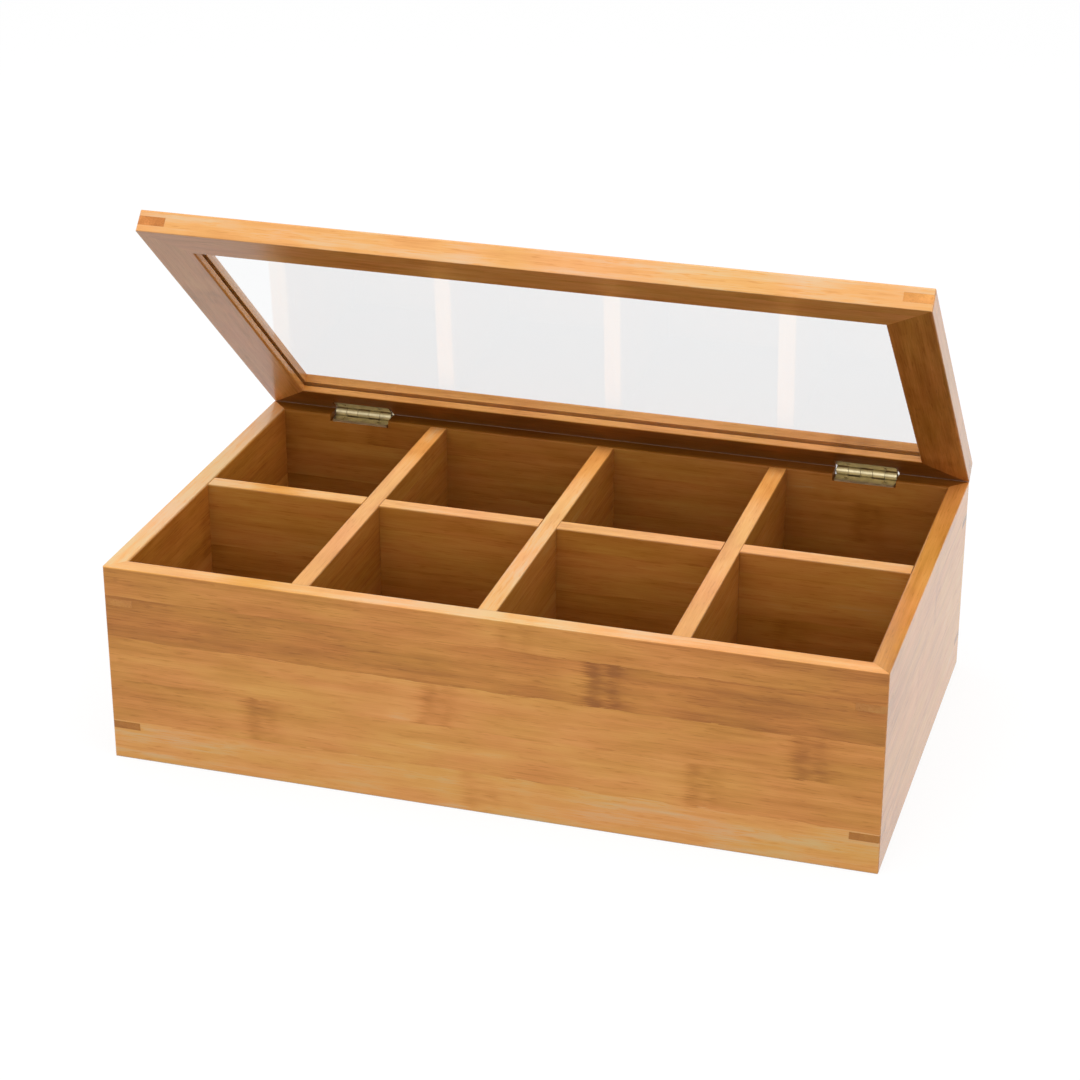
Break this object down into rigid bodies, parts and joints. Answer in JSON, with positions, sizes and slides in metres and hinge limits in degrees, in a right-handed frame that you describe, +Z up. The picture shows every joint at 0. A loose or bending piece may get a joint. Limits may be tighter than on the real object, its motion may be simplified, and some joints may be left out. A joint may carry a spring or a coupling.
{
  "type": "tea bag box",
  "caption": "Bamboo tea bag box with a grid of dividers and a hinged, framed lid with a clear pane.",
  "frame": {"origin": "middle of the base, in the plane on which the box stands", "axes": "+X to the right along the box's length, +Y to the rear where the hinges are, +Z up out of the base"},
  "size_m": [0.315, 0.1897, 0.2158],
  "materials": {
    "bamboo_wall": "satin lacquered bamboo strips",
    "bamboo_panel": "satin lacquered bamboo sheet",
    "bamboo_divider": "satin lacquered bamboo strips",
    "bamboo_rail": "satin lacquered bamboo strips",
    "bamboo_key": "darker bamboo, lacquered",
    "clear_pane": "polished, clear",
    "brass": "bright stamped brass",
    "brass_screw": "bright brass, countersunk heads"
  },
  "bodies": {
    "box": {"front_wall": "bamboo_wall", "back_wall": "bamboo_wall", "left_wall": "bamboo_wall", "right_wall": "bamboo_wall", "bottom_panel": "bamboo_panel", "long_divider": "bamboo_divider", "cross_divider_left": "bamboo_divider", "cross_divider_middle": "bamboo_divider", "cross_divider_right": "bamboo_divider", "key_front_left_lower": "bamboo_key", "key_front_left_upper": "bamboo_key", "key_front_right_lower": "bamboo_key", "key_front_right_upper": "bamboo_key", "key_back_left_lower": "bamboo_key", "key_back_left_upper": "bamboo_key", "key_back_right_lower": "bamboo_key", "key_back_right_upper": "bamboo_key", "left_hinge_box_leaf": "brass", "left_hinge_pin": "brass", "right_hinge_box_leaf": "brass", "right_hinge_pin": "brass", "box_hinge_screws": "brass_screw"},
    "lid": {"lid_front_rail": "bamboo_rail", "lid_rear_rail": "bamboo_rail", "lid_left_rail": "bamboo_rail", "lid_right_rail": "bamboo_rail", "lid_pane": "clear_pane", "lid_key_front_left": "bamboo_key", "lid_key_front_right": "bamboo_key", "lid_key_rear_left": "bamboo_key", "lid_key_rear_right": "bamboo_key", "left_hinge_lid_leaf": "brass", "right_hinge_lid_leaf": "brass", "lid_hinge_screws": "brass_screw"}
  },
  "joints": [
    {"name": "lid_hinge", "type": "hinge", "parent": "box", "child": "lid", "pos_m": [0, 0.0909, 0.0847], "axis": [-1, 0, 0], "range_deg": [-42.7, 82.3]}
  ]
}
